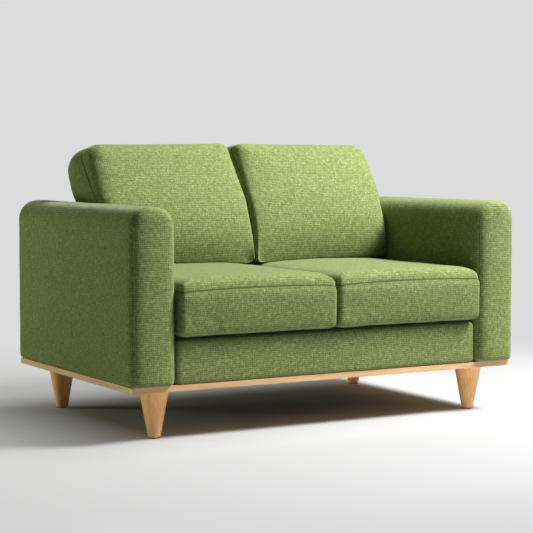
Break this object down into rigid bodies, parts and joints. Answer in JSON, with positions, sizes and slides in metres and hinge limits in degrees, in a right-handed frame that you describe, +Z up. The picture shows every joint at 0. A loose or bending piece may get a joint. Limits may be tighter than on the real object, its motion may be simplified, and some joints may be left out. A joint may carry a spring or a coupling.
{
  "type": "sofa",
  "caption": "Two-seat sofa with padded arms and back, loose seat and back cushions in woven cloth, on a thin timber plinth with turned tapered legs.",
  "frame": {"origin": "on the floor, under the middle of the whole sofa", "axes": "+Z up, the front towards -Y, +X to the right as seen from the front"},
  "size_m": [1.37, 0.8934, 0.861],
  "materials": {
    "woven_upholstery": "matte",
    "oiled_beech": "satin",
    "pine": "matte",
    "birch_plywood": "matte",
    "hardboard": "matte",
    "foam": "matte",
    "polyester_fibre": "matte",
    "zinc_plated_steel": "satin",
    "glide_plastic": "matte",
    "grey_felt": "matte",
    "black_lining": "matte",
    "elastic_webbing": "matte"
  },
  "bodies": {
    "frame": {"arm_left_cover": "woven_upholstery", "arm_right_cover": "woven_upholstery", "back_cover": "woven_upholstery", "front_rail_cover": "woven_upholstery", "plinth_front": "oiled_beech", "plinth_back": "oiled_beech", "plinth_left": "oiled_beech", "plinth_right": "oiled_beech", "leg_front_left": "oiled_beech", "leg_front_right": "oiled_beech", "leg_back_left": "oiled_beech", "leg_back_right": "oiled_beech", "base_beam_front": "pine", "base_beam_back": "pine", "base_beam_left": "pine", "base_beam_right": "pine", "base_beam_centre": "pine", "base_corner_blocks": "pine", "back_top_rail": "pine", "back_lumbar_rail": "pine", "back_bottom_rail": "pine", "arm_left_front_post": "pine", "arm_left_rear_post": "pine", "arm_left_top_rail": "pine", "arm_left_bottom_rail": "pine", "arm_right_front_post": "pine", "arm_right_rear_post": "pine", "arm_right_top_rail": "pine", "arm_right_bottom_rail": "pine", "back_rib_left": "birch_plywood", "back_rib_centre": "birch_plywood", "back_rib_right": "birch_plywood", "arm_left_inner_panel": "hardboard", "arm_left_outer_panel": "hardboard", "arm_right_inner_panel": "hardboard", "arm_right_outer_panel": "hardboard", "back_rear_panel": "hardboard", "arm_left_padding": "foam", "arm_right_padding": "foam", "back_padding": "foam", "front_rail_padding": "foam", "leg_hanger_bolts": "zinc_plated_steel", "leg_t_nuts": "zinc_plated_steel", "plinth_screws": "zinc_plated_steel", "seat_springs": "zinc_plated_steel", "spring_clips": "zinc_plated_steel", "arm_bolts": "zinc_plated_steel", "leg_glides": "glide_plastic", "seat_felt": "grey_felt", "seat_platform_cloth": "black_lining", "dust_cover": "black_lining", "back_webbing": "elastic_webbing"},
    "seat_cushion_left": {"seat_cushion_left_cover": "woven_upholstery", "seat_cushion_left_core": "foam"},
    "seat_cushion_right": {"seat_cushion_right_cover": "woven_upholstery", "seat_cushion_right_core": "foam"},
    "back_cushion_left": {"back_cushion_left_cover": "woven_upholstery", "back_cushion_left_filling": "polyester_fibre"},
    "back_cushion_right": {"back_cushion_right_cover": "woven_upholstery", "back_cushion_right_filling": "polyester_fibre"}
  },
  "joints": [
    {"name": "seat_cushion_left_slide", "type": "slide", "parent": "frame", "child": "seat_cushion_left", "axis": [0, -1, 0], "range_m": [0, 0.65]},
    {"name": "seat_cushion_right_slide", "type": "slide", "parent": "frame", "child": "seat_cushion_right", "axis": [0, -1, 0], "range_m": [0, 0.65]},
    {"name": "back_cushion_left_lift", "type": "slide", "parent": "frame", "child": "back_cushion_left", "axis": [0, 0, 1], "range_m": [0, 0.3]},
    {"name": "back_cushion_right_lift", "type": "slide", "parent": "frame", "child": "back_cushion_right", "axis": [0, 0, 1], "range_m": [0, 0.3]}
  ]
}
